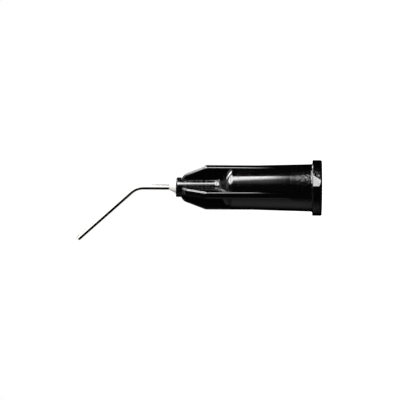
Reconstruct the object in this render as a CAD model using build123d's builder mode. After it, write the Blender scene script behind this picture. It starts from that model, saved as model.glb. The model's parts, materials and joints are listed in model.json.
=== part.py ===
from build123d import *
from math import cos, radians, sin, tan
import os

# Dispensing needle tip: a moulded Luer lock hub with four ribs, a bent steel cannula and the
# clear adhesive that holds it. Sizes are in millimetres and angles in degrees.
# +Z runs along the hub's axis, from the middle of the socket's mouth at the origin to the nose.
# The bend turns the cannula towards +X.

# Socket: a Luer taper that loses 6 % of its depth in diameter, then a funnel to the cannula
socket_mouth_radius = 2.15
socket_taper = 0.06
socket_setback = 0.86  # the taper ends this far short of the barrel's front corner
socket_lead_in = 0.15
funnel_angle = 45
channel_margin = 0.05  # the channel below the cannula is this much wider than the cannula's bore
channel_length = 0.9

# Barrel, shoulder and nose
hub_length = 20.4
barrel_length = 12.96
barrel_draft = 0.36  # the barrel is this much slimmer at its front than at the rim
shoulder_length = 1.48
shoulder_blend = 1.26
nose_radius = 1.37
nose_draft = 0.03  # the nose is this much wider at its root
nose_root_blend = 1.06
nose_edge = 0.2

# Ribs
rib_count = 4
rib_turn = 6  # from the plane of the bend to the first rib
rib_proud = 0.24  # the crest stands this far above the barrel's front
rib_thickness = 1.04
rib_front_height = 0.475  # the front end stands this far above the nose
rib_taper_length = 3.48
rib_nose_gap = 0.72  # bare nose in front of the ribs
rib_front_blend = 1.2
rib_corner_blend = 0.6
rib_edge = 0.34

# Lock rim, parted into two lugs by two notches
rim_radius = 3.9
rim_step = 0.53  # the rim stands this far above the barrel's rear end
rim_thickness = 1.26
rim_bevel_height = 0.19  # the rim's rear edge is bevelled this far along the axis
rim_bevel_depth = 0.08
rim_root_blend = 0.25
notch_count = 2
notch_turn = 134  # from the plane of the bend to the corner of the first notch
notch_width = 0.85  # from the corner to the straight side
notch_lead_angle = 37  # slope of the other side, which meets the lock's thread first
notch_fall_angle = 20  # the floor sinks into the rim towards the nose

# Cannula: 22 gauge tube
cannula_radius = 0.36
cannula_bore_radius = 0.205
cannula_clearance = 0.02
straight_length = 5.54  # from the nose's face to the corner of the bend
tip_length = 11.6  # from the corner of the bend to the tip
bend_angle = 45
bend_radius = 2.5

# Adhesive: a well in the nose's face and a short cone up the cannula
well_mouth_radius = 0.86
well_floor_radius = 0.62
well_depth = 1.6
cone_length = 1.15
cone_hollow = 0.05  # how far the cone's side sinks in from a straight line
cone_tip_wall = 0.03

# Places along the axis, and the radii that belong to them
socket_depth = barrel_length - socket_setback
socket_end_radius = socket_mouth_radius - socket_depth * socket_taper / 2
lead_in_radius = socket_mouth_radius - socket_lead_in * socket_taper / 2
channel_radius = cannula_bore_radius + channel_margin
channel_start = socket_depth + (socket_end_radius - channel_radius) / tan(radians(funnel_angle))
cannula_seat = channel_start + channel_length
hole_radius = cannula_radius + cannula_clearance
barrel_rear_radius = rim_radius - rim_step
barrel_front_radius = barrel_rear_radius - barrel_draft
barrel_slope = barrel_draft / barrel_length
nose_root = barrel_length + shoulder_length
rib_front = hub_length - rib_nose_gap
rib_corner = rib_front - rib_taper_length
rib_crest_radius = barrel_front_radius + rib_proud
rib_front_radius = nose_radius + rib_front_height
well_floor = hub_length - well_depth
well_countersink = well_floor + well_floor_radius - hole_radius
rim_core_radius = (socket_mouth_radius + barrel_front_radius) / 2
rim_root_radius = barrel_rear_radius - rim_thickness * barrel_slope
rim_front = rim_thickness + 2 * rim_root_blend
rim_front_radius = barrel_rear_radius - rim_front * barrel_slope
notch_length = 2 * rim_thickness
notch_spread = notch_length * tan(radians(notch_lead_angle))
bend_corner = hub_length + straight_length
tip_reach = tip_length * sin(radians(bend_angle))
tip_height = bend_corner + tip_length * cos(radians(bend_angle))


# One rib, standing on the axis in the XZ plane. Its side view gives the height along the hub,
# which falls over the tapered part, and both edges of its crest are rounded.
with BuildPart() as rib:
    with BuildSketch(Plane.XZ):
        with BuildLine():
            FilletPolyline(
                (0, rim_thickness),
                (rib_crest_radius, rim_thickness),
                (rib_crest_radius, rib_corner),
                (rib_front_radius, rib_front),
                (0, rib_front),
                radius=[0, 0, rib_corner_blend, rib_front_blend, 0],
                close=True,
            )
        make_face()
    extrude(amount=rib_thickness / 2, both=True)
    crest_edges = rib.edges().filter_by(
        lambda edge: edge.center().Y != 0 and min(end.X for end in edge.vertices()) > 0
    )
    fillet(crest_edges, rib_edge)

# One notch of the rim, cut outwards from its flat floor. The floor starts at the rear bevel
# and sinks into the rim. One side runs along the axis. The other slopes, so that the lug
# behind it screws into the thread of the lock.
notch_floor = Plane(
    origin=(rim_radius, 0, rim_bevel_height),
    x_dir=(0, 1, 0),
    z_dir=(cos(radians(notch_fall_angle)), 0, sin(radians(notch_fall_angle))),
)
with BuildPart() as notch:
    with BuildSketch(notch_floor):
        with BuildLine():
            Polyline(
                (-notch_width, 0),
                (0, 0),
                (notch_spread, notch_length),
                (-notch_width, notch_length),
                close=True,
            )
        make_face()
    extrude(amount=rim_radius)

# The lock rim, a ring with a small fillet where it meets the barrel, parted by the notches
with BuildPart() as rim:
    with BuildSketch(Plane.XZ):
        with BuildLine():
            FilletPolyline(
                (rim_core_radius, 0),
                (rim_radius - rim_bevel_depth, 0),
                (rim_radius, rim_bevel_height),
                (rim_radius, rim_thickness),
                (rim_root_radius, rim_thickness),
                (rim_front_radius, rim_front),
                (rim_core_radius, rim_front),
                radius=[0, 0, 0, 0, rim_root_blend, 0, 0],
                close=True,
            )
        make_face()
    revolve(axis=Axis.Z)
    with PolarLocations(0, notch_count, start_angle=notch_turn):
        add(notch.part, mode=Mode.SUBTRACT)

# The hub is one moulding: barrel, shoulder and nose in one turned form, the ribs and the rim,
# and then the socket, the channel, the hole for the cannula and the well cut through them.
with BuildPart() as hub:
    with BuildSketch(Plane.XZ):
        with BuildLine():
            FilletPolyline(
                (0, 0),
                (barrel_rear_radius, 0),
                (barrel_front_radius, barrel_length),
                (nose_radius + nose_draft, nose_root),
                (nose_radius, hub_length),
                (0, hub_length),
                radius=[0, 0, shoulder_blend, nose_root_blend, nose_edge, 0],
                close=True,
            )
        make_face()
    revolve(axis=Axis.Z)
    add(rim.part)
    with PolarLocations(0, rib_count, start_angle=rib_turn):
        add(rib.part)
    with BuildSketch(Plane.XZ):
        with BuildLine():
            Polyline(
                (0, 0),
                (socket_mouth_radius + socket_lead_in, 0),
                (lead_in_radius, socket_lead_in),
                (socket_end_radius, socket_depth),
                (channel_radius, channel_start),
                (channel_radius, cannula_seat),
                (hole_radius, cannula_seat),
                (hole_radius, well_floor),
                (well_floor_radius, well_countersink),
                (well_mouth_radius, hub_length),
                (0, hub_length),
                close=True,
            )
        make_face()
    revolve(axis=Axis.Z, mode=Mode.SUBTRACT)
hub.part.label = "hub"

# The cannula stands on the seat in the hub, runs straight out of the nose and bends once.
# Both ends are cut square.
with BuildPart() as cannula:
    with BuildLine(Plane.XZ):
        FilletPolyline(
            (0, cannula_seat),
            (0, bend_corner),
            (tip_reach, tip_height),
            radius=bend_radius,
        )
    with BuildSketch(Plane.XY.offset(cannula_seat)):
        Circle(cannula_radius)
        Circle(cannula_bore_radius, mode=Mode.SUBTRACT)
    sweep()
cannula.part.label = "cannula"

# The adhesive fills the well round the cannula and climbs it in a slightly hollow cone
with BuildPart() as adhesive:
    cone_foot = Vector(well_mouth_radius, hub_length)
    cone_tip = Vector(cannula_radius + cone_tip_wall, hub_length + cone_length)
    cone_side = (cone_tip - cone_foot).normalized()
    cone_middle = (cone_foot + cone_tip) / 2 + cone_side.rotate(Axis.Z, 90) * cone_hollow
    with BuildSketch(Plane.XZ):
        with BuildLine():
            Polyline(
                cone_tip,
                (cannula_radius, hub_length + cone_length),
                (cannula_radius, well_floor),
                (hole_radius, well_floor),
                (well_floor_radius, well_countersink),
                cone_foot,
            )
            ThreePointArc(cone_foot, cone_middle, cone_tip)
        make_face()
    revolve(axis=Axis.Z)
adhesive.part.label = "adhesive"

os.makedirs("parts", exist_ok=True)
export_step(hub.part, "parts/hub.step")
export_step(cannula.part, "parts/cannula.step")
export_step(adhesive.part, "parts/adhesive.step")
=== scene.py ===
# %% [markdown]
# # A bent dispensing needle tip
# This object is small and has three parts: a glossy black hub moulded in polypropylene, a thin
# stainless steel tube that is bent once, and a drop of clear adhesive that holds the tube in the
# hub's nose. The CAD model already has the hub's true shape, so the hub keeps its CAD mesh and
# only gets a finish. The tube and the adhesive are made again here, because a drawn surface has
# to follow the bend and a drop has a soft edge. Everything is in metres, in the CAD model's frame.

# %% Load the frame
import json
from math import cos, radians, sin, tan

import bpy
import numpy as np
from mathutils import Matrix, Vector


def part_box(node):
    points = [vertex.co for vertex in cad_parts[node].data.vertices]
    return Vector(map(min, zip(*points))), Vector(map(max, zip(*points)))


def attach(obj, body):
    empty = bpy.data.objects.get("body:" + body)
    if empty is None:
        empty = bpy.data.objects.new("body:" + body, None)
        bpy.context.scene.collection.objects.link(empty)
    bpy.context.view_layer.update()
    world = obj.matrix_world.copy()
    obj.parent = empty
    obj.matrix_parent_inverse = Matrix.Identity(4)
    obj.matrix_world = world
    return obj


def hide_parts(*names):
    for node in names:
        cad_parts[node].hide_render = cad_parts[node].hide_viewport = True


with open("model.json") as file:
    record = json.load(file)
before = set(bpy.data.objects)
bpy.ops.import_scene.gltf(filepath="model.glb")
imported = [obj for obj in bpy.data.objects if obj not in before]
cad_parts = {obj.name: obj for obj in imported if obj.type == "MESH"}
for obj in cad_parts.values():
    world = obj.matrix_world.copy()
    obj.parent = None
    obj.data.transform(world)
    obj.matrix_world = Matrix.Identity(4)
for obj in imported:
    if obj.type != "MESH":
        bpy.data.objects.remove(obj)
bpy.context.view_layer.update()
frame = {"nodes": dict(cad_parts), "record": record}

print("nodes:", sorted(frame["nodes"]))

# %% [markdown]
# ## Units and directions
# Lengths are written in millimetres and multiplied by MM. The hub's axis is +Z. The photograph
# looks at the object from the side, so two more directions are useful: the one that points from
# the axis to the camera, and the one that points up in the picture. Left in the picture is +Z.
# The three are also kept as the rows of one matrix, which turns a whole grid of such places at
# once.

# %% Name the units and the directions
MM = 0.001
CAMERA_AZIMUTH = radians(118)
TO_CAMERA = Vector((cos(CAMERA_AZIMUTH), sin(CAMERA_AZIMUTH), 0))
TO_LEFT = Vector((0, 0, 1))
TO_TOP = TO_LEFT.cross(TO_CAMERA)
PICTURE_AXES = np.array([TO_CAMERA, TO_TOP, TO_LEFT])


def studio_place(toward_camera, upward, leftward):
    """The point that lies these millimetres from the origin along the three directions."""
    return MM * (toward_camera * TO_CAMERA + upward * TO_TOP + leftward * TO_LEFT)


print("the picture's up is", [round(part, 3) for part in TO_TOP])

# %% [markdown]
# ## Camera
# The hub lies almost level in the picture and turns down by a third of a degree to the right. A
# camera 600 mm away flattens the perspective, as a product photographer's long lens does. The
# lens follows from the width of the view: lens / sensor = distance / width.

# %% Set the camera
CAMERA_DISTANCE = 600
VIEW_WIDTH = 56
VIEW_ALONG = 17.0  # the point of the axis in the middle of the picture
VIEW_DROP = 1.78  # the middle of the picture lies this far below the axis
CAMERA_ROLL = radians(0.32)

camera_data = bpy.data.cameras.new("camera")
camera_data.lens = camera_data.sensor_width * CAMERA_DISTANCE / VIEW_WIDTH
camera = bpy.data.objects.new("camera", camera_data)
camera.location = studio_place(CAMERA_DISTANCE, -VIEW_DROP, VIEW_ALONG)
camera_top = (TO_TOP * cos(CAMERA_ROLL) + TO_LEFT * sin(CAMERA_ROLL)).normalized()
camera_right = camera_top.cross(TO_CAMERA)
camera.rotation_euler = Matrix((camera_right, camera_top, TO_CAMERA)).transposed().to_euler()
bpy.context.scene.collection.objects.link(camera)
bpy.context.scene.camera = camera
bpy.context.scene.view_settings.view_transform = "Standard"
print(f"lens {camera_data.lens:.1f} mm")

# %% [markdown]
# ## Helpers for materials
# Colours are written as they are read off a screen, in hex, and Blender counts in linear light,
# so one function turns the first into the second. Another adds a node, sets its options and
# fills its sockets, each with a plain value or with the output of another node. The third starts
# a material with an empty node tree.

# %% Define the colour and node helpers


def linear(hex_colour):
    """sRGB hex to linear RGBA: c / 12.92 below 0.04045, and ((c + 0.055) / 1.055)^2.4 above."""
    channels = np.array([int(hex_colour[i:i + 2], 16) for i in (1, 3, 5)]) / 255
    bright = ((channels + 0.055) / 1.055) ** 2.4
    return (*np.where(channels <= 0.04045, channels / 12.92, bright), 1.0)


def add_node(tree, kind, sockets=None, **options):
    """Add a node. Sockets maps an input's name or number to a value or to another's output."""
    node = tree.nodes.new(kind)
    for name, value in options.items():
        setattr(node, name, value)
    for key, value in (sockets or {}).items():
        if isinstance(value, bpy.types.NodeSocket):
            tree.links.new(value, node.inputs[key])
        else:
            node.inputs[key].default_value = value
    return node


def new_tree(name):
    """A new material's empty node tree, with its output node, and the material."""
    material = bpy.data.materials.new(name)
    material.use_nodes = True
    material.node_tree.nodes.clear()
    output = material.node_tree.nodes.new("ShaderNodeOutputMaterial")
    return material, material.node_tree, output


print("mid grey is", round(linear("#808080")[0], 3), "in linear light")

# %% [markdown]
# ## Surfaces from grids
# Each new shape here is a function of two parameters, worked out for a whole grid of points at
# once with numpy. The faces of such a grid follow from its row and column numbers alone, so one
# function serves for the floor, the studio's cards, the tube and the adhesive. A direction that
# wraps has its last line of points joined to its first. Most of these shapes are round, so a
# second function gives the points of a radius, an angle and a height.

# %% Define the round points and the grid mesh
ROUND_STEPS = 96


def round_points(radius, turn, height):
    """Points in millimetres at a radius, an angle and a height: (r cos a, r sin a, h)."""
    radius, turn, height = np.broadcast_arrays(radius, turn, height)
    return np.stack([radius * np.cos(turn), radius * np.sin(turn), height], axis=-1)


def grid_mesh(name, points, wrap_rows=False, wrap_columns=False):
    """An object whose faces join each point of the grid to the next one down and across."""
    rows, columns = points.shape[:2]
    row = np.arange(rows if wrap_rows else rows - 1)[:, None]
    column = np.arange(columns if wrap_columns else columns - 1)[None, :]
    next_row, next_column = (row + 1) % rows, (column + 1) % columns
    corners = [
        row * columns + column,
        row * columns + next_column,
        next_row * columns + next_column,
        next_row * columns + column,
    ]
    faces = np.stack(corners, axis=-1).reshape(-1, 4)
    mesh = bpy.data.meshes.new(name)
    mesh.from_pydata(points.reshape(-1, 3).tolist(), [], faces.tolist())
    mesh.shade_smooth()
    piece = bpy.data.objects.new(name, mesh)
    bpy.context.scene.collection.objects.link(piece)
    print(f"{name}: {len(faces)} faces")
    return piece


whole_turn = np.linspace(0, 2 * np.pi, ROUND_STEPS, endpoint=False)
print("a round piece has", ROUND_STEPS, "points round it")

# %% [markdown]
# ## World
# The object is shown on white. The world lights it at a plain level. What the camera sees
# directly, in a reflection or through the clear adhesive is a white background of strength 1,
# and the Light Path node tells those rays from the ones that only carry light.

# %% Light the world
WORLD_LEVEL = 0.5


def picture_rays(tree):
    """1 for the rays that show the background: direct, mirrored, or through something clear."""
    path = add_node(tree, "ShaderNodeLightPath").outputs
    shown = path["Is Camera Ray"]
    for ray in ("Is Glossy Ray", "Is Transmission Ray"):
        either = add_node(tree, "ShaderNodeMath", {0: shown, 1: path[ray]}, operation="MAXIMUM")
        shown = either.outputs[0]
    return shown


world = bpy.data.worlds.new("studio")
world.use_nodes = True
world.node_tree.nodes.clear()
tree = world.node_tree
ambient = add_node(tree, "ShaderNodeBackground", {"Color": linear("#ffffff"), "Strength": WORLD_LEVEL})
backdrop = add_node(tree, "ShaderNodeBackground", {"Color": linear("#ffffff"), "Strength": 1.0})
mixed = add_node(
    tree, "ShaderNodeMixShader", {0: picture_rays(tree), 1: ambient.outputs[0], 2: backdrop.outputs[0]}
)
add_node(tree, "ShaderNodeOutputWorld", {"Surface": mixed.outputs[0]})
bpy.context.scene.world = world
print("world level", WORLD_LEVEL)

# %% [markdown]
# ## Floor
# The tip stands on its rim on a pale floor. The camera looks along that floor from just above
# it, so the floor fills the right part of the picture, behind the hub and in front of it. It
# is a plain white sheet, brightened by a little light of its own for the same rays as the
# world, so that it meets the background without an edge.

# %% Lay the floor
FLOOR_RADIUS = 2000
FLOOR_GAP = 0.01  # keeps the floor's face apart from the rim's
FLOOR_GLOW = 0.62

floor_points = round_points(np.array([[0.0], [FLOOR_RADIUS]]), whole_turn, -FLOOR_GAP)
floor = grid_mesh("floor", MM * floor_points[:, ::-1], wrap_columns=True)
floor_material, tree, output = new_tree("white_paper")
glow = add_node(tree, "ShaderNodeMath", {0: picture_rays(tree), 1: FLOOR_GLOW}, operation="MULTIPLY")
paper = add_node(tree, "ShaderNodeBsdfDiffuse", {"Color": linear("#f2f2f2")})
light = add_node(tree, "ShaderNodeEmission", {"Strength": glow.outputs[0]})
both = add_node(tree, "ShaderNodeAddShader", {0: paper.outputs[0], 1: light.outputs[0]})
tree.links.new(both.outputs[0], output.inputs["Surface"])
floor.data.materials.append(floor_material)

# %% [markdown]
# ## Lamps
# Two large soft lamps give shape to what isn't a mirror. Glossy black plastic and bright steel
# show mostly what they reflect, and that is the work of the cards below, so the lamps are kept
# out of reflections.

# %% Hang the lamps
LAMPS = {
    "key_lamp": {"place": (260, 330, 300), "side": 260, "power": 1.5},
    "fill_lamp": {"place": (300, -260, 260), "side": 300, "power": 0.5},
}
LAMP_TARGET = studio_place(0, 0, 15)

for name, lamp in LAMPS.items():
    data = bpy.data.lights.new(name, "AREA")
    data.shape = "SQUARE"
    data.size = lamp["side"] * MM
    data.energy = lamp["power"]
    item = bpy.data.objects.new(name, data)
    item.location = studio_place(*lamp["place"])
    item.rotation_euler = (LAMP_TARGET - item.location).to_track_quat("-Z", "Y").to_euler()
    item.visible_glossy = False
    bpy.context.scene.collection.objects.link(item)
    print(f"{name}: {lamp['power']} W")

# %% [markdown]
# ## Cards, and what they are for
# A glossy black part shows little but its reflections. A photographer gives it its highlights
# with a softbox and keeps the rest black with cards of black paper, and the same is done here.
# Angles are counted from the camera towards the top of the picture. A face whose normal is
# turned by an angle from the camera reflects what stands at twice that angle, so the place of a
# highlight says where its card has to hang. Each card's brightness is kept on its points as an
# attribute. Only glossy rays see a card: it lights nothing, casts no shadow and stays out of the
# picture, so the colours still render as they are written.

# %% Define what a card is made of


def smooth_step(low, high, value):
    """0 below low, 1 above high, and 3 t^2 - 2 t^3 between, with t from 0 to 1."""
    t = np.clip((value - low) / (high - low), 0, 1)
    return t * t * (3 - 2 * t)


card_material, tree, output = new_tree("card")
brightness = add_node(tree, "ShaderNodeAttribute", attribute_name="glow")
light = add_node(tree, "ShaderNodeEmission", {"Color": brightness.outputs["Color"]})
tree.links.new(light.outputs[0], output.inputs["Surface"])


def hang_card(name, points, brightness, **wrap):
    """A card from a grid of points in metres, with a brightness for each of them."""
    item = grid_mesh(name, points, **wrap)
    colour = np.ones((*points.shape[:2], 4))
    colour[..., :3] = brightness[..., None]
    layer = item.data.attributes.new("glow", "FLOAT_COLOR", "POINT")
    layer.data.foreach_set("color", colour.ravel().astype(np.float32))
    item.data.materials.append(card_material)
    item.visible_camera = False
    item.visible_diffuse = False
    item.visible_transmission = False
    item.visible_shadow = False


print("only glossy rays see the cards")

# %% [markdown]
# ## Upright cards
# Most cards are pieces of an upright cylinder round the hub's axis, because the hub is round
# too: on such a card, one angle and one height stand for one place on the barrel. Each is as
# bright as a function of its angle and its height says, so the same code makes a plain card and
# one with soft edges.

# %% Define the upright card
CARD_RADIUS = 60
CARD_STEPS = 48


def upright_card(name, angles, heights, glow, radius=CARD_RADIUS, steps=CARD_STEPS):
    """A card on a cylinder: point = radius (cos a, sin a) at height h, over the two ranges."""
    angle = np.linspace(*angles, steps)[:, None]
    height = np.linspace(*heights, steps)[None, :]
    points = round_points(radius, CAMERA_AZIMUTH + np.radians(angle), height)
    hang_card(name, MM * points, glow(angle, height))


def plain_glow(level):
    """The same brightness all over."""
    return lambda angle, height: level * np.ones(np.broadcast_shapes(angle.shape, height.shape))


print("cards hang", CARD_RADIUS, "mm from the axis")

# %% [markdown]
# ## Softbox
# The softbox makes the long highlight on the barrel, the bright spots on the shoulder and the
# lines on the ribs. A plain rectangle would make them all equally wide, so it is masked, as a
# photographer does with black tape. The mask is a table with a row for each height: the angles
# where the light starts and ends, how soft its start is, and its share of the full level. It is
# interpolated between the rows. The barrel's draft tilts its reflections up by 3 mm, so the
# rows up to 16 mm belong to the barrel. The rows near 43 mm belong to the floor of the rim's
# notch, and the ones above to the tapered fronts of the ribs.

# %% Mask the softbox
SOFTBOX_LEVEL = 24
SOFTBOX_STEPS = 110
TAIL_SHARE = 0.04  # a weak light reaches out ahead of the start
TAIL_ANGLES = (14, 32)  # and rises between these
END_BLUR = 2  # the end is sharper than the start
SOFTBOX_MASK = [  # height, start, end, blur, share
    (3.5, 40, 58, 9, 0.5),
    (4.6, 42, 58, 9, 0.12),
    (5.6, 50, 58, 9, 0),
    (7.5, 50, 58, 9, 0.12),
    (9, 47, 58.5, 9, 1.12),
    (13, 41.5, 57.5, 9, 1),
    (15.5, 35.5, 59, 9, 0.9),
    (16.2, 38.5, 48, 6, 1),
    (19, 38.5, 48, 6, 1),
    (21, 31, 63, 8, 1),
    (27, 26, 70, 8, 1),
    (35, 24, 71, 7, 0.95),
    (39, 22, 71, 6, 0.45),
    (48, 20, 71, 6, 0.45),
    (51, 20, 70, 6, 0.95),
    (61, 22, 66, 6, 0.95),
    (90, 34, 58, 6, 0.9),
    (110, 45, 55, 6, 0.3),
]
mask_heights, *mask_columns = np.array(SOFTBOX_MASK).T


def softbox_glow(angle, height):
    """Level x share x (the larger of the soft rise at the start and the tail) x fall at the end."""
    start, end, blur, share = (np.interp(height, mask_heights, column) for column in mask_columns)
    rise = smooth_step(start - blur, start + blur, angle)
    tail = TAIL_SHARE * smooth_step(*TAIL_ANGLES, angle)
    fall = 1 - smooth_step(end - END_BLUR, end + END_BLUR, angle)
    return SOFTBOX_LEVEL * share * np.maximum(rise, tail) * fall


upright_card("softbox", (-12, 76), (3, 112), softbox_glow, radius=CARD_RADIUS - 2, steps=SOFTBOX_STEPS)

# %% [markdown]
# ## Black and dim cards
# Everywhere else the hub would mirror the white world and turn grey, so black cards close the
# circle round it. High up they are dim instead of black, because the shoulder and the fronts of
# the ribs, which look up there, aren't quite black in the photograph. The one light panel hangs
# high up behind, where the tapered front of the rib on top looks.

# %% Close the circle
BLACK, DIM, PANEL_LEVEL = 0.0, 0.12, 6
PLAIN_CARDS = {  # angles, heights, level
    "back_panel": ((130, 172), (28, 90), PANEL_LEVEL),
    "front_card": ((-38, 70), (-6, 22), BLACK),
    "top_card": ((76, 180), (-6, 22), BLACK),
    "high_card": ((76, 130), (22, 110), DIM),
    "low_front_card": ((-38, -12), (22, 110), DIM),
    "low_card": ((-68, -38), (-6, 110), BLACK),
    "bottom_card": ((-180, -64), (-6, 22), BLACK),
}
DIM_HEIGHTS = (38, 46)  # the lower back turns from black to dim between these


def low_back_glow(angle, height):
    """Black low down and dim higher up."""
    return DIM * smooth_step(*DIM_HEIGHTS, height) * np.ones_like(angle)


for name, (angles, heights, level) in PLAIN_CARDS.items():
    upright_card(name, angles, heights, plain_glow(level))
upright_card("low_back_card", (-188, -68), (22, 110), low_back_glow)

# %% [markdown]
# ## A grey card for the underside
# A real table throws a little light on the underside of the barrel, which shows as a faint grey
# band low in the picture. The slanted tube would catch the same light and lose its dark line.
# The tube hangs outside the hub, so the card stands near, only 20 mm from the axis and lower
# than the nose: the barrel sees it, and the tube looks past it.

# %% Hang the grey card
UNDERSIDE_RADIUS = 20
UNDERSIDE_LEVEL = 0.34
UNDERSIDE_RISE = (-50, -76)
UNDERSIDE_FALL = (-84, -126)
SHOULDER_SHADE = 0.6  # the card is this much darker at the shoulder
SHOULDER_HEIGHTS = (15, 20)


def lower_glow(angle, height):
    """A dim bump: up over the first range below the camera, down over the second."""
    share = smooth_step(*UNDERSIDE_RISE, angle) * (1 - smooth_step(*UNDERSIDE_FALL, angle))
    return UNDERSIDE_LEVEL * share * (1 - SHOULDER_SHADE * smooth_step(*SHOULDER_HEIGHTS, height))


upright_card("low_glow_card", (-140, -44), (0, 21), lower_glow, radius=UNDERSIDE_RADIUS)

# %% [markdown]
# ## A strip for the back
# Seen from behind, the hub would be all black. A bright strip right behind the barrel gives it
# one soft highlight there. It stands so close that the barrel hides it from every reflection
# that the camera of the photograph can see.

# %% Hang the strip
STRIP_RADIUS = 11
STRIP_LEVEL = 12
STRIP_RISE = (167, 174)
STRIP_FALL = (186, 193)


def strip_glow(angle, height):
    """Full in the middle of the strip, with both long edges soft."""
    share = smooth_step(*STRIP_RISE, angle) * (1 - smooth_step(*STRIP_FALL, angle))
    return STRIP_LEVEL * share * np.ones_like(height)


upright_card("back_strip", (167, 193), (-1, 22), strip_glow, radius=STRIP_RADIUS)

# %% [markdown]
# ## Ceiling and floor
# Faces that slope steeply look over the upright cards. A dim disc closes the top, with two soft
# patches of light at its edge that carry the highlights on, and a black disc just above the floor
# keeps the floor's white out of the hub.

# %% Close the top and the bottom
DISC_ANGLES = np.linspace(-120, 240, ROUND_STEPS + 1)[:-1, None]
DISC_RINGS = 16
DISC_MIDDLE = 0.01  # a tiny hole keeps the middle points apart
CEILING_PATCHES = [(0.7, 120, 40), (1.5, 50, 25)]  # level, angle, width in degrees
PATCH_REACH = (20, 44)  # the patches fade in between these distances from the axis


def ceiling_glow(angle, reach):
    """Dim, plus level e^-((a - angle) / width)^2 for each patch, fading towards the middle."""
    patches = sum(level * np.exp(-((angle - at) / width) ** 2) for level, at, width in CEILING_PATCHES)
    return DIM + patches * smooth_step(*PATCH_REACH, reach)


def disc_card(name, radius, height, glow):
    """A level disc round the axis, as bright as the function of angle and reach says."""
    reach = np.linspace(DISC_MIDDLE, radius, DISC_RINGS)[None, :]
    points = round_points(reach, CAMERA_AZIMUTH + np.radians(DISC_ANGLES), height)
    hang_card(name, MM * points, glow(DISC_ANGLES, reach), wrap_rows=True)


disc_card("ceiling_card", radius=52, height=112, glow=ceiling_glow)
disc_card("floor_card", radius=80, height=-FLOOR_GAP / 2, glow=plain_glow(BLACK))

# %% [markdown]
# ## A white card beside the tube
# The tube is a mirror too, but steel reflects fifteen times as much as black plastic, so the
# softbox is far too bright for it. A white card 4 mm in front of the tube hides the softbox from
# it and makes its upper side white. The card's lower edge follows the tube down, and below that
# edge the tube mirrors the black cards, which draws the dark line along its underside.

# %% Hang the white card
NEEDLE_CARD_LEVEL = 1.8
NEEDLE_CARD_GAP = 4
NEEDLE_CARD_FOOT = 20.75
NEEDLE_CARD_TOP = 16
NEEDLE_CARD_STEPS = 12
EDGE_HEIGHTS = [26.5, 27.4, 64]  # the lower edge turns between the first two, as the tube does
EDGE_PLACES = [-0.35, -0.9, -44.1]  # how far up the lower edge is there

beside_rise = np.linspace(NEEDLE_CARD_FOOT, EDGE_HEIGHTS[0], 8)
beside_run = np.linspace(*EDGE_HEIGHTS[1:], 24)
card_heights = np.concatenate([beside_rise, beside_run])[:, None]
card_edge = np.interp(card_heights, EDGE_HEIGHTS, EDGE_PLACES)
card_up = card_edge + (NEEDLE_CARD_TOP - card_edge) * np.linspace(0, 1, NEEDLE_CARD_STEPS)
card_points = np.stack(np.broadcast_arrays(NEEDLE_CARD_GAP, card_up, card_heights), axis=-1)
hang_card("needle_card", MM * card_points @ PICTURE_AXES, NEEDLE_CARD_LEVEL * np.ones(card_up.shape))

# %% [markdown]
# ## A hoop for the shoulder
# The shoulder turns from facing the camera to facing the nose, so it mirrors an arc of the
# studio from beside the hub to high over the nose. A narrow bright hoop along that arc gives the
# thin curved glint on the shoulder and the fine light on the rounded edges of the ribs. It bends
# back from the camera on both sides of its middle, which bends the glint. Its lowest part is
# dark, because the straight run of the tube would mirror it, and its top is half as bright.

# %% Hang the hoop
HOOP_LEVEL = 30
HOOP_RADIUS = CARD_RADIUS - 4
HOOP_CENTRE = 13  # height of the hoop's centre
HOOP_WIDTH = 9
HOOP_SPAN = (3, 66)  # degrees up from the level
HOOP_STEPS = 40
HOOP_MIDDLE = 40  # where the hoop is nearest to the camera
HOOP_PLACE = 1  # how near that is
HOOP_BENDS = (6, 18)  # how far it bends back in 30 degrees, below and above the middle
HOOP_FLARE = 3  # the lower part is this much wider, on the camera's side
FLARE_FALL = (38, 52)
HOOP_RISE = (11.5, 14)
HOOP_FALL = (38, 56)

degrees = np.linspace(*HOOP_SPAN, HOOP_STEPS)[:, None]
bend_back = np.where(degrees > HOOP_MIDDLE, HOOP_BENDS[1], HOOP_BENDS[0])
hoop_line = HOOP_PLACE - bend_back * ((degrees - HOOP_MIDDLE) / 30) ** 2
hoop_near = hoop_line + HOOP_WIDTH * np.array([-0.5, 0.5])
hoop_near[:, 1:] += HOOP_FLARE * (1 - smooth_step(*FLARE_FALL, degrees))
hoop_up = HOOP_RADIUS * np.cos(np.radians(degrees))
hoop_left = HOOP_CENTRE + HOOP_RADIUS * np.sin(np.radians(degrees))
hoop_points = np.stack(np.broadcast_arrays(hoop_near, hoop_up, hoop_left), axis=-1)
hoop_share = smooth_step(*HOOP_RISE, degrees) * (1 - smooth_step(*HOOP_FALL, degrees) / 2)
hang_card("hoop_card", MM * hoop_points @ PICTURE_AXES, HOOP_LEVEL * hoop_share * np.ones(2))

# %% [markdown]
# ## The marks of the mould
# The hub's surface copies a polished steel mould that was turned on a lathe, so it has very fine
# rings round the axis, and a faint swell where the plastic shrank. Near the rim it cooled
# unevenly and is crinkled like orange peel. All of this is far too fine for the mesh and is made
# as bump, on Object coordinates, because the hub is one solid that never bends. The rings are
# about 0.1 mm apart on the real one and are drawn three times as coarse, so that they show.

# %% Make the marks of the mould
RING_SPACING = 0.32
RING_LENGTH = 50  # the rings run on round the hub, so across the axis they hardly change
RING_HEIGHT = 0.0011
SWELL_SPACING = 1.6
SWELL_HEIGHT = 0.004
PEEL_SPACING = 0.3
PEEL_HEIGHT = 0.052
PEEL_FULL = 2.6  # above this height the peel fades
PEEL_TOP = 4.8  # and from this height on there is none


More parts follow.
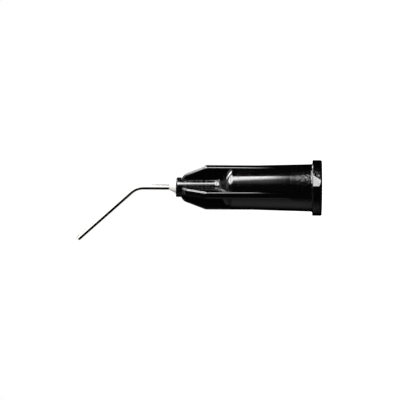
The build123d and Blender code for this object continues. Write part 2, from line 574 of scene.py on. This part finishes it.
def mould_marks(tree):
    """The noise of the rings and of the swell, and the normal with rings, peel and swell in it."""
    place = add_node(tree, "ShaderNodeTexCoord").outputs["Object"]
    ring_scale = (1 / (RING_LENGTH * MM), 1 / (RING_LENGTH * MM), 1 / (RING_SPACING * MM))
    ring_place = add_node(tree, "ShaderNodeMapping", {"Vector": place, "Scale": ring_scale}).outputs[0]
    rings = add_node(tree, "ShaderNodeTexNoise", {"Vector": ring_place, "Scale": 1.0, "Detail": 2.0})
    swell_sockets = {"Vector": place, "Scale": 1 / (SWELL_SPACING * MM), "Detail": 1.0}
    swell = add_node(tree, "ShaderNodeTexNoise", swell_sockets)
    peel_sockets = {"Vector": place, "Scale": 1 / (PEEL_SPACING * MM), "Detail": 2.0}
    peel = add_node(tree, "ShaderNodeTexNoise", peel_sockets)
    height = add_node(tree, "ShaderNodeSeparateXYZ", {0: place}).outputs["Z"]
    fade = {"From Min": PEEL_TOP * MM, "From Max": PEEL_FULL * MM, "To Min": 0.0, "To Max": 1.0}
    near_rim = add_node(tree, "ShaderNodeMapRange", {"Value": height, **fade}).outputs[0]
    swell_bump = add_node(
        tree, "ShaderNodeBump",
        {"Height": swell.outputs[0], "Strength": 1.0, "Distance": SWELL_HEIGHT * MM},
    )
    peel_bump = add_node(
        tree, "ShaderNodeBump",
        {
            "Height": peel.outputs[0], "Strength": near_rim, "Distance": PEEL_HEIGHT * MM,
            "Normal": swell_bump.outputs[0],
        },
    )
    ring_bump = add_node(
        tree, "ShaderNodeBump",
        {
            "Height": rings.outputs[0], "Strength": 1.0, "Distance": RING_HEIGHT * MM,
            "Normal": peel_bump.outputs[0],
        },
    )
    return rings.outputs[0], swell.outputs[0], ring_bump.outputs[0]


print("rings", RING_SPACING, "mm apart, peel up to", PEEL_TOP, "mm")

# %% [markdown]
# ## Black polypropylene
# The hub is injection moulded polypropylene with carbon black, which has an IOR of 1.49. The
# polished mould leaves it glossy. The rings change the gloss as well as the height, so that they
# streak the highlight, and the swell moves the colour between two blacks that are hardly apart.

# %% Make the black polypropylene


def black_polypropylene():
    """Glossy black plastic, a little rougher on some rings and a little warmer in some places."""
    material, tree, output = new_tree("black_polypropylene")
    rings, swell, normal = mould_marks(tree)
    gloss = {"From Min": 0.35, "From Max": 0.65, "To Min": 0.06, "To Max": 0.17}
    roughness = add_node(tree, "ShaderNodeMapRange", {"Value": rings, **gloss})
    blacks = {6: linear("#040404"), 7: linear("#070607")}
    colour = add_node(tree, "ShaderNodeMix", {"Factor": swell, **blacks}, data_type="RGBA")
    shader = add_node(
        tree, "ShaderNodeBsdfPrincipled",
        {
            "Base Color": colour.outputs[2], "Roughness": roughness.outputs[0], "IOR": 1.49,
            "Normal": normal,
        },
    )
    tree.links.new(shader.outputs[0], output.inputs["Surface"])
    return material


hub = frame["nodes"]["hub"]
hub.data.materials.clear()
hub.data.materials.append(black_polypropylene())
print("hub:", len(hub.data.polygons), "faces")

# %% [markdown]
# ## Drawn stainless steel
# The tube is 304 stainless steel, drawn through a die to 0.72 mm and bright finished. Drawing
# leaves fine lines along the tube, and they follow it round the bend. A pattern on the object's
# own coordinates would cut straight through the bend, so the tube keeps an attribute with the
# place that each point had while the tube was straight, and the pattern reads that.

# %% Make the stainless steel
LINE_SPACING = 0.06
LINE_LENGTH = 12.0
LINE_HEIGHT = 0.00025


def stainless_steel():
    """Bright steel with drawn lines: noise that is narrow across the tube and long along it."""
    material, tree, output = new_tree("drawn_stainless_steel")
    straight = add_node(tree, "ShaderNodeAttribute", attribute_name="straight").outputs["Vector"]
    line_scale = (1 / LINE_SPACING, 1 / LINE_SPACING, 1 / LINE_LENGTH)
    line_place = add_node(tree, "ShaderNodeMapping", {"Vector": straight, "Scale": line_scale})
    line_sockets = {"Vector": line_place.outputs[0], "Scale": 1.0, "Detail": 1.0}
    lines = add_node(tree, "ShaderNodeTexNoise", line_sockets).outputs[0]
    bump = add_node(
        tree, "ShaderNodeBump", {"Height": lines, "Strength": 1.0, "Distance": LINE_HEIGHT * MM}
    )
    roughness = add_node(tree, "ShaderNodeMapRange", {"Value": lines, "To Min": 0.08, "To Max": 0.16})
    greys = {6: linear("#cfccc8"), 7: linear("#dad8d5")}
    colour = add_node(tree, "ShaderNodeMix", {"Factor": lines, **greys}, data_type="RGBA")
    shader = add_node(
        tree, "ShaderNodeBsdfPrincipled",
        {
            "Base Color": colour.outputs[2], "Metallic": 1.0, "Roughness": roughness.outputs[0],
            "Normal": bump.outputs[0],
        },
    )
    tree.links.new(shader.outputs[0], output.inputs["Surface"])
    return material


steel = stainless_steel()
print("drawn lines", LINE_SPACING, "mm apart")

# %% [markdown]
# ## The tube's sizes
# The tube runs straight out of the nose, turns once and runs straight to its tip. It has to lie
# exactly where the CAD model's tube lies, so its sizes come from the frame: the outlet mount
# gives its radius, the direction of its tip and the length of the run beyond the bend, and the
# bend's corner and radius follow from those and from the box of the CAD node.

# %% Measure the tube
outlet = next(mount for mount in frame["record"]["mounts"] if mount["name"] == "cannula_outlet")
tube_radius = outlet["dims"]["r_mm"]
run_length = outlet["dims"]["length_mm"]
tip_direction = np.array(outlet["axis"])
bend_angle = np.arctan2(tip_direction[0], tip_direction[2])
outlet_place = np.array(outlet["pos_m"]) / MM
bend_corner = outlet_place[2] - outlet_place[0] / tan(bend_angle)
tube_low, tube_high = (np.array(corner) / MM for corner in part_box("cannula"))
tip_reach = tube_high[0] - tube_radius * cos(bend_angle)
bend_radius = (tip_reach / sin(bend_angle) - run_length) / tan(bend_angle / 2)
rise_length = bend_corner - bend_radius * tan(bend_angle / 2) - tube_low[2]
bend_length = bend_radius * bend_angle
print(f"tube {rise_length + bend_length + run_length:.2f} mm long")
print(f"bend {np.degrees(bend_angle):.1f} degrees, radius {bend_radius:.2f} mm")

# %% [markdown]
# ## The tube's path and profile
# A curve with a round bevel would be quicker to make, but it has no wall and no lip. So the tube
# is a closed profile carried along its centre line. The profile goes up the outside, over the
# rounded lip and down the bore, and joins its own start under the foot, so the wall has its real
# thickness and the open tip shows it. The centre line is a straight run, an arc and a straight
# run.

# %% Define the path and the profile
BORE_RADIUS = 0.205
LIP_ROUND = 0.03
LIP_STEPS = 6
RUN_STEPS = 12
ARC_STEPS = 33


def centre_line(along):
    """Centre and side direction at each distance: Z up, an arc towards X, then a straight run."""
    up = np.clip(along, 0, rise_length)
    angle = np.clip(along - rise_length, 0, bend_length) / bend_radius
    beyond = np.clip(along - rise_length - bend_length, 0, None)
    x = bend_radius * (1 - np.cos(angle)) + beyond * np.sin(angle)
    z = tube_low[2] + up + bend_radius * np.sin(angle) + beyond * np.cos(angle)
    centre = np.stack([x, np.zeros_like(x), z], axis=-1)
    side = np.stack([np.cos(angle), np.zeros_like(x), -np.sin(angle)], axis=-1)
    return centre, side


def tube_profile():
    """Distances and radii: up the outside, a quarter circle at each lip edge, down the bore."""
    quarter = np.linspace(0, np.pi / 2, LIP_STEPS)
    straight = np.linspace(0, rise_length, RUN_STEPS)
    arc = straight[-1] + np.linspace(0, bend_length, ARC_STEPS)[1:]
    run = arc[-1] + np.linspace(0, run_length - LIP_ROUND, RUN_STEPS)[1:]
    rise = np.concatenate([straight, arc, run])
    lip_out = rise[-1] + LIP_ROUND * np.sin(quarter[1:])
    lip_in = rise[-1] + LIP_ROUND * np.cos(quarter[:-1])
    outer = tube_radius - LIP_ROUND * (1 - np.cos(quarter[1:]))
    inner = BORE_RADIUS + LIP_ROUND * (1 - np.sin(quarter[:-1]))
    along = np.concatenate([rise, lip_out, lip_in, rise[::-1]])
    radius = np.concatenate(
        [np.full_like(rise, tube_radius), outer, inner, np.full_like(rise, BORE_RADIUS)]
    )
    return along, radius


along, radius = tube_profile()
print("the profile has", len(along), "points")

# %% [markdown]
# ## The tube
# Each point of the profile becomes a ring: place = centre + radius (cos a side + sin a Y). Where
# a real tube is bent it flattens a little, so the ring grows across the bend and shrinks in the
# bend's plane by the same share, easing in and out at both ends of the arc.

# %% Make the tube
FLATTENING = 0.03
BEND_EASE = 0.5

centre, side = centre_line(along)
past = along - rise_length
bent = smooth_step(-BEND_EASE, BEND_EASE, past)
bent = bent * (1 - smooth_step(bend_length - BEND_EASE, bend_length + BEND_EASE, past))
inward = (radius * (1 - FLATTENING * bent))[:, None, None] * np.cos(whole_turn)[:, None]
across = (radius * (1 + FLATTENING * bent))[:, None, None] * np.sin(whole_turn)[:, None]
tube_points = centre[:, None] + inward * side[:, None] + across * np.array([0.0, 1.0, 0.0])
tube = grid_mesh("tube", MM * tube_points[:, ::-1], wrap_rows=True, wrap_columns=True)
straight_place = round_points(radius[:, None], whole_turn, along[:, None])
layer = tube.data.attributes.new("straight", "FLOAT_VECTOR", "POINT")
layer.data.foreach_set("vector", straight_place[:, ::-1].ravel().astype(np.float32))
tube.data.set_sharp_from_angle(angle=radians(60))
tube.data.materials.append(steel)
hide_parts("cannula")
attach(tube, "root")

# %% [markdown]
# ## The drop of adhesive
# The adhesive is an epoxy, dropped round the tube and cured. It wets both the tube and the rim
# of the well, so its side is slightly hollow and its edge dies out on the steel. It could be
# sculpted, but a profile turned round the axis meets the well and the tube exactly. Its body
# reaches a hundredth of a millimetre into the steel and the plastic, so that light meets one
# surface there and not two.

# %% Make the drop
CONE_HOLLOW = 0.02
CONE_DROP = 0.22  # the edge dies out this far below the top of the CAD model's cone
CONE_TIP_WALL = 0.02
CONE_STEPS = 40
WELL_FLOOR_RADIUS = 0.62
WELL_FLOOR_RISE = 0.25  # the well's wall starts this far above the foot of the adhesive
WELL_STEPS = 8
BORE_STEPS = 12
BITE = 0.01

glue_low, glue_high = (np.array(corner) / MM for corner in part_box("adhesive"))
cone_top = glue_high[2] - CONE_DROP
nose_face = (np.array(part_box("hub")[1]) / MM)[2]
mouth_radius = glue_high[0]


def adhesive_profile():
    """Radii and heights: the well's wall, a straight side less 4 h s (1 - s), then the tube."""
    share = np.linspace(0, 1, CONE_STEPS)
    cone_radius = mouth_radius + (tube_radius + CONE_TIP_WALL - mouth_radius) * share
    cone_radius = cone_radius - CONE_HOLLOW * 4 * share * (1 - share)
    cone_height = nose_face + (cone_top - nose_face) * share
    wall_radius = np.linspace(WELL_FLOOR_RADIUS + BITE, mouth_radius, WELL_STEPS)[:-1]
    wall_height = np.linspace(glue_low[2] + WELL_FLOOR_RISE, nose_face, WELL_STEPS)[:-1]
    bore_height = np.linspace(cone_top, glue_low[2] + BITE, BORE_STEPS)
    bore_radius = np.full_like(bore_height, tube_radius - BITE)
    radius = np.concatenate([wall_radius, cone_radius, bore_radius])
    height = np.concatenate([wall_height, cone_height, bore_height])
    return radius[:, None], height[:, None]


radius, height = adhesive_profile()
glue_points = round_points(radius, whole_turn, height)
glue = grid_mesh("glue", MM * glue_points[:, ::-1], wrap_rows=True, wrap_columns=True)
glue.data.set_sharp_from_angle(angle=radians(40))

# %% [markdown]
# ## Clear epoxy
# Cured epoxy is smooth and glossy, with an IOR of 1.5. This drop is clear but not like glass:
# fine bubbles and dust make it a little milky, so half of its light goes through and the rest
# scatters as in a pale paint. A slow swell of half a millimetre keeps its gloss from looking
# machined.

# %% Make the clear epoxy
EPOXY_SWELL_SPACING = 0.5
EPOXY_SWELL_HEIGHT = 0.004


def clear_epoxy():
    """Slightly cloudy gloss resin with a faint swell in its surface."""
    material, tree, output = new_tree("clear_epoxy")
    place = add_node(tree, "ShaderNodeTexCoord").outputs["Object"]
    swell_sockets = {"Vector": place, "Scale": 1 / (EPOXY_SWELL_SPACING * MM), "Detail": 1.0}
    swell = add_node(tree, "ShaderNodeTexNoise", swell_sockets)
    bump = add_node(
        tree, "ShaderNodeBump",
        {"Height": swell.outputs[0], "Strength": 1.0, "Distance": EPOXY_SWELL_HEIGHT * MM},
    )
    shader = add_node(
        tree, "ShaderNodeBsdfPrincipled",
        {
            "Base Color": linear("#fdfcf8"), "Roughness": 0.02, "IOR": 1.5,
            "Transmission Weight": 0.5, "Normal": bump.outputs[0],
        },
    )
    tree.links.new(shader.outputs[0], output.inputs["Surface"])
    return material


glue.data.materials.append(clear_epoxy())
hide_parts("adhesive")
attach(glue, "root")
print("the adhesive is", round(cone_top - nose_face, 2), "mm tall above the nose")
